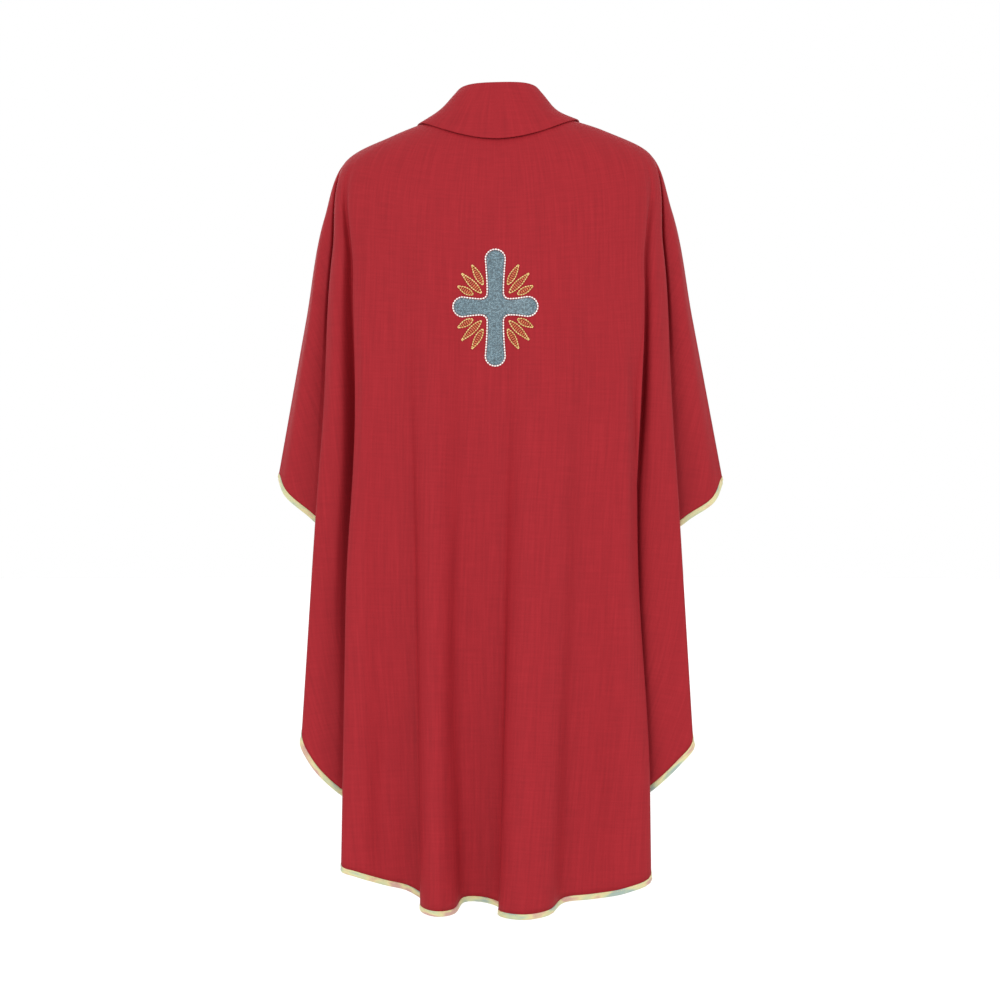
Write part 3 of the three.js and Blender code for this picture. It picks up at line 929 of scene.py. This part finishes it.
line = cross_outline(grow=1.4)
line = np.concatenate([line, line[:1]])
curve, outs = on_cloth(line, 0.7)
white_stitching = sew("cross_white_stitching", stitches_along(curve, outs, 4.2, share=0.95), 2.4, 0.7)

# %% Gold rays in the angles of the cross
RAY_ANGLES = (29, 45, 61)
RAY_STARTS = (39, 30, 39)
RAY_LENGTHS = (28, 44, 36)
RAY_HALF_WIDTH = 4.8
RAY_FILL_PITCH = 3.4


def ray_outline(angle, start, length):
    """A pointed leaf, from its inner tip round to it again."""
    s = np.linspace(0, 1, 16)
    half = RAY_HALF_WIDTH * np.sin(np.pi * s**0.8)
    along = start + length * s
    one, other = np.stack([along, half], axis=1), np.stack([along, -half], axis=1)[::-1]
    leaf = np.concatenate([one, other[1:]])
    a = math.radians(angle)
    return leaf @ np.array([[math.cos(a), math.sin(a)], [-math.sin(a), math.cos(a)]])


gold_places, orange_places = [], []
for quarter in range(4):
    for angle, start, length in zip(RAY_ANGLES, RAY_STARTS, RAY_LENGTHS):
        turn = angle + 90 * quarter if quarter % 2 == 0 else 90 * quarter + 90 - angle
        leaf = ray_outline(turn, start, length)
        curve, outs = on_cloth(leaf, 0.5)
        gold_places += stitches_along(curve, outs, 4.0, share=0.98)
        one_side, other_side = leaf[: len(leaf) // 2 + 1], leaf[: len(leaf) // 2 - 1 : -1]
        for share in np.arange(0.14, 0.86, RAY_FILL_PITCH / length):
            ends = [
                [np.interp(share * (len(edge) - 1), np.arange(len(edge)), edge[:, k]) for k in (0, 1)]
                for edge in (one_side, other_side)
            ]
            crossing, outs = on_cloth(ends, 0.3)
            span = crossing[1] - crossing[0]
            orange_places.append((crossing.mean(axis=0), span, outs[0], float(np.linalg.norm(span)) * 0.8))
gold_rays = sew("cross_gold_rays", gold_places, 2.1, 0.6)
ray_filling = sew("cross_ray_filling", orange_places, 2.2, 0.3)
print("stitches:", len(gold_places), "gold,", len(orange_places), "filling")

# %% [markdown]
# The cloth is a light worsted or polyester of plain weave, dyed a warm red. Its threads are
# uneven, so it shows faint slubs along and across the cut. The weave reads the flat cut in its
# UV map, in metres, and so it runs round every fold as the threads do.

# %% Red cloth
RED = "#8f1c24"
RED_DEEP = "#881a22"
RED_LIGHT = "#961f27"
THREADS_PER_METRE = 1 / 0.0009


def streaks(tree, flat, scale, detail=2.0):
    """Long thin noise: scale is how many times it changes in a metre of each direction."""
    stretched = add_node(
        tree, "ShaderNodeMapping", inputs={"Scale": (*scale, 1.0)}, links={"Vector": flat}
    )
    return add_node(
        tree,
        "ShaderNodeTexNoise",
        {"noise_dimensions": "2D"},
        {"Scale": 1.0, "Detail": detail, "Roughness": 0.55},
        {"Vector": stretched.outputs["Vector"]},
    ).outputs["Fac"]


def weave_height(tree, flat, threads):
    """Over and under of a plain weave: threads in a metre, both ways."""
    parts = add_node(tree, "ShaderNodeSeparateXYZ", links={"Vector": flat})
    waves = []
    for axis in ("X", "Y"):
        turn = add_node(
            tree, "ShaderNodeMath", {"operation": "MULTIPLY"},
            {1: threads * math.pi}, {0: parts.outputs[axis]},
        )
        waves.append(add_node(tree, "ShaderNodeMath", {"operation": "SINE"}, links={0: turn.outputs[0]}))
    both = {index: wave.outputs[0] for index, wave in enumerate(waves)}
    return add_node(tree, "ShaderNodeMath", {"operation": "MULTIPLY"}, links=both).outputs[0]


def woven_cloth(name, dark, middle, light):
    """Dyed plain weave: soft slubs in colour and height, fine threads in height, a low sheen."""
    surface = {
        "Roughness": 0.72,
        "Specular IOR Level": 0.15,
        "Sheen Weight": 0.02,
        "Sheen Roughness": 0.45,
        "Sheen Tint": linear("#e0787c"),
    }
    material, tree, shader = new_material(name, surface)
    flat = add_node(tree, "ShaderNodeUVMap", {"uv_map": "flat_cut"}).outputs["UV"]
    warp = streaks(tree, flat, (300, 11))
    weft = streaks(tree, flat, (20, 330))
    broad = streaks(tree, flat, (80, 5), detail=1.0)
    slub = add_node(
        tree, "ShaderNodeMix", {"data_type": "RGBA"}, {"Factor": 0.4}, {6: warp, 7: weft}
    ).outputs[2]
    tone = add_node(
        tree, "ShaderNodeMix", {"data_type": "RGBA"}, {"Factor": 0.12}, {6: slub, 7: broad}
    ).outputs[2]
    ramp = set_ramp(
        add_node(tree, "ShaderNodeValToRGB", links={"Fac": tone}),
        [(0.3, linear(dark)), (0.5, linear(middle)), (0.7, linear(light))],
    )
    threads = weave_height(tree, flat, THREADS_PER_METRE)
    height = add_node(
        tree, "ShaderNodeMath", {"operation": "MULTIPLY_ADD"}, {1: 0.18}, {0: threads, 2: slub}
    )
    bump = add_node(
        tree, "ShaderNodeBump",
        inputs={"Strength": 0.35, "Distance": 0.0004}, links={"Height": height.outputs[0]},
    )
    tree.links.new(ramp.outputs["Color"], shader.inputs["Base Color"])
    tree.links.new(bump.outputs["Normal"], shader.inputs["Normal"])
    return material


red_cloth = woven_cloth("red_worsted_plain_weave", RED_DEEP, RED, RED_LIGHT)
print("made", red_cloth.name)

# %% [markdown]
# The binding is a pale gold satin tape. Its fine ribs cross it from edge to edge, and its
# colour shifts a little towards green and rose, as shot silk does.

# %% Pale gold tape
RIB_PITCH = 1.4 * MM


def ribbed_tape(name):
    """Satin tape: patches of shot colour, and a fine rib across it in height, with painted shade in its
    troughs.
    """
    material, tree, shader = new_material(name, {"Roughness": 0.42, "Sheen Weight": 0.1})
    flat = add_node(tree, "ShaderNodeUVMap", {"uv_map": "flat_cut"}).outputs["UV"]
    patches = streaks(tree, flat, (26, 60), detail=1.5)
    ramp = set_ramp(
        add_node(tree, "ShaderNodeValToRGB", links={"Fac": patches}),
        [
            (0.32, linear("#93a59a")),
            (0.43, linear("#b9bf94")),
            (0.55, linear("#cfc38f")),
            (0.67, linear("#bd9486")),
        ],
    )
    parts = add_node(tree, "ShaderNodeSeparateXYZ", links={"Vector": flat})
    turn = add_node(
        tree, "ShaderNodeMath", {"operation": "MULTIPLY"},
        {1: 2 * math.pi / RIB_PITCH}, {0: parts.outputs["X"]},
    )
    rib = add_node(tree, "ShaderNodeMath", {"operation": "SINE"}, links={0: turn.outputs[0]}).outputs[0]
    # Painted shade: the colour is up to a tenth darker along the rib's troughs, where the bump sinks it.
    shade = add_node(
        tree, "ShaderNodeMath", {"operation": "MULTIPLY_ADD"}, {1: 0.05, 2: 0.95}, {0: rib}
    )
    colour = add_node(
        tree, "ShaderNodeMix", {"data_type": "RGBA", "blend_type": "MULTIPLY"},
        {"Factor": 1.0}, {6: ramp.outputs["Color"], 7: shade.outputs[0]},
    )
    bump = add_node(
        tree, "ShaderNodeBump", inputs={"Strength": 0.3, "Distance": 0.0003}, links={"Height": rib}
    )
    tree.links.new(colour.outputs[2], shader.inputs["Base Color"])
    tree.links.new(bump.outputs["Normal"], shader.inputs["Normal"])
    return material


pale_gold_tape = ribbed_tape("pale_gold_satin_tape")
print("made", pale_gold_tape.name)

# %% [markdown]
# Embroidery thread is glossy rayon. The filling is laid in rows of short stitches whose ends are
# staggered like bricks. The gaps between the stitches are painted dark as shade, and a fine sparkle
# of glints is painted into the thread's colour. A real row is 0.4 mm wide; it is drawn 1.7 mm wide
# here, so that it shows.

# %% Embroidery threads
ROW_WIDTH = 1.7 * MM
STITCH_LENGTH = 3.6 * MM


def satin_filling(name):
    """Rows of staggered satin stitches, with painted shade in their gaps and painted glints in their colour.
    """
    material, tree, shader = new_material(name, {"Roughness": 0.38, "Sheen Weight": 0.15})
    place = add_node(tree, "ShaderNodeTexCoord").outputs["Object"]
    upright = add_node(
        tree, "ShaderNodeMapping", inputs={"Rotation": (math.pi / 2, 0.0, 0.0)}, links={"Vector": place}
    )
    # Painted shade: the dark mortar between the bricks is the shade in the gaps between stitches.
    rows = add_node(
        tree,
        "ShaderNodeTexBrick",
        {"offset": 0.37, "offset_frequency": 2},
        {
            "Scale": 1.0, "Brick Width": STITCH_LENGTH, "Row Height": ROW_WIDTH,
            "Mortar Size": 0.0003, "Mortar Smooth": 0.8,
            "Color1": linear("#7a939d"), "Color2": linear("#57707b"), "Mortar": linear("#354954"),
        },
        {"Vector": upright.outputs["Vector"]},
    )
    # Painted glints: fine noise makes the thread's colour lighter here and darker there, as glinting light
    # does.
    painted_glints = add_node(
        tree, "ShaderNodeTexNoise",
        inputs={"Scale": 500.0, "Detail": 1.0, "Roughness": 0.5}, links={"Vector": place},
    )
    tone = set_ramp(
        add_node(tree, "ShaderNodeValToRGB", links={"Fac": painted_glints.outputs["Fac"]}),
        [(0.38, 0.45), (0.5, 0.84), (0.62, 1.15)],
    )
    colour = add_node(
        tree, "ShaderNodeMix", {"data_type": "RGBA", "blend_type": "MULTIPLY"},
        {"Factor": 1.0}, {6: rows.outputs["Color"], 7: tone.outputs["Color"]},
    )
    bump = add_node(
        tree, "ShaderNodeBump", {"invert": True},
        {"Strength": 0.6, "Distance": 0.0004}, {"Height": rows.outputs["Fac"]},
    )
    tree.links.new(colour.outputs[2], shader.inputs["Base Color"])
    tree.links.new(bump.outputs["Normal"], shader.inputs["Normal"])
    return material


def twisted_thread(name, dark, light, roughness):
    """A twisted thread: its colour changes a little from stitch to stitch."""
    material, tree, shader = new_material(name, {"Roughness": roughness, "Sheen Weight": 0.15})
    place = add_node(tree, "ShaderNodeTexCoord").outputs["Object"]
    noise = add_node(
        tree, "ShaderNodeTexNoise", inputs={"Scale": 260.0, "Detail": 2.0}, links={"Vector": place}
    ).outputs["Fac"]
    ramp = set_ramp(
        add_node(tree, "ShaderNodeValToRGB", links={"Fac": noise}),
        [(0.35, linear(dark)), (0.65, linear(light))],
    )
    bump = add_node(
        tree, "ShaderNodeBump", inputs={"Strength": 0.4, "Distance": 0.0002}, links={"Height": noise}
    )
    tree.links.new(ramp.outputs["Color"], shader.inputs["Base Color"])
    tree.links.new(bump.outputs["Normal"], shader.inputs["Normal"])
    return material


grey_blue_filling = satin_filling("grey_blue_rayon_filling")
white_thread = twisted_thread("white_rayon_thread", "#e3d6d4", "#fbf7f2", 0.4)
gold_thread = twisted_thread("gold_rayon_thread", "#c39a4c", "#e6cd8a", 0.36)
orange_thread = twisted_thread("orange_rayon_thread", "#a84e2a", "#c87238", 0.42)
hem_thread = twisted_thread("pale_gold_sewing_thread", "#bda978", "#d9cb9c", 0.5)
print("materials:", len(bpy.data.materials))

# %% [markdown]
# Each piece gets its material, rides on the frame's body and hides the frame part that it replaces.

# %% Dress the frame
def dress(piece, material):
    piece.data.materials.clear()
    piece.data.materials.append(material)
    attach(piece, body)


for side in ("back", "front"):
    dress(cloth[side], red_cloth)
    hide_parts(f"{side}_panel")
    dress(bindings[side], pale_gold_tape)
    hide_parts(f"hem_strip_{side}")
    dress(hem_stitches[side], hem_thread)
dress(collar, red_cloth)
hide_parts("collar")
dress(cross_satin, grey_blue_filling)
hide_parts("cross")
for piece, thread in (
    (white_stitching, white_thread),
    (gold_rays, gold_thread),
    (ray_filling, orange_thread),
):
    dress(piece, thread)

for side in ("back", "front"):
    panel = panel_grids[side]

# %% [markdown]
# The garment hangs at shoulder height over a wide white floor. The light is soft and comes from
# all round, as in a studio for catalogue pictures: a broad key lamp from the upper left, a fill
# from the right, and one more on the far side, so that the front isn't dark when one walks round.

# %% Floor and light
SHOULDER_HEIGHT = 1.47
FLOOR_RADIUS = 24.0

bpy.ops.object.select_all(action="DESELECT")
bpy.ops.mesh.primitive_circle_add(
    vertices=96, radius=FLOOR_RADIUS, fill_type="NGON", location=(0, 0, -SHOULDER_HEIGHT)
)
floor = bpy.context.object
floor.name = "studio_floor"
floor_material, floor_tree, floor_shader = new_material("matt_white_paper", {"Roughness": 0.9})
grain = add_node(floor_tree, "ShaderNodeTexNoise", inputs={"Scale": 3.0, "Detail": 3.0})
floor_ramp = set_ramp(
    add_node(floor_tree, "ShaderNodeValToRGB", links={"Fac": grain.outputs["Fac"]}),
    [(0.3, linear("#f6f6f6")), (0.7, linear("#f8f8f8"))],
)
floor_tree.links.new(floor_ramp.outputs["Color"], floor_shader.inputs["Base Color"])
floor.data.materials.append(floor_material)

world = bpy.data.worlds.new("soft_white_room")
bpy.context.scene.world = world
world.use_nodes = True
world.node_tree.nodes["Background"].inputs["Color"].default_value = (1.0, 1.0, 1.0, 1.0)
world.node_tree.nodes["Background"].inputs["Strength"].default_value = 1.0


def soft_sun(name, strength, towards, angle):
    """A broad lamp that is the same everywhere: towards is where its light goes."""
    lamp = bpy.data.lights.new(name, "SUN")
    lamp.energy = strength
    lamp.angle = math.radians(angle)
    lamp_object = bpy.data.objects.new(name, lamp)
    lamp_object.rotation_euler = Vector(towards).to_track_quat("-Z", "Y").to_euler()
    bpy.context.scene.collection.objects.link(lamp_object)


soft_sun("key_from_upper_left", 1.05, (0.45, 0.86, -0.32), 30)
soft_sun("fill_from_the_right", 0.85, (-0.72, 0.68, -0.15), 50)
soft_sun("fill_on_the_other_side", 0.9, (0.25, -0.9, -0.35), 60)
print("lamps:", len(bpy.data.lights))

# %% [markdown]
# The camera stands four metres away, level with the middle of the garment, and its lens takes in
# a little more than the garment's height.

# %% Camera
camera = bpy.data.cameras.new("camera")
camera.sensor_width = 36.0
camera.lens = 90.0
camera_object = bpy.data.objects.new("camera", camera)
camera_object.location = (0.0032, -4.0, -0.5952)
camera_object.rotation_euler = (math.pi / 2, 0.0, 0.0)
bpy.context.scene.collection.objects.link(camera_object)
bpy.context.scene.camera = camera_object
bpy.context.scene.view_settings.view_transform = "Standard"

# %% Finish
added = [piece for piece in bpy.data.objects if piece.type == "MESH" and "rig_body" in piece]
print("added faces:", {piece.name: len(piece.data.polygons) for piece in added})
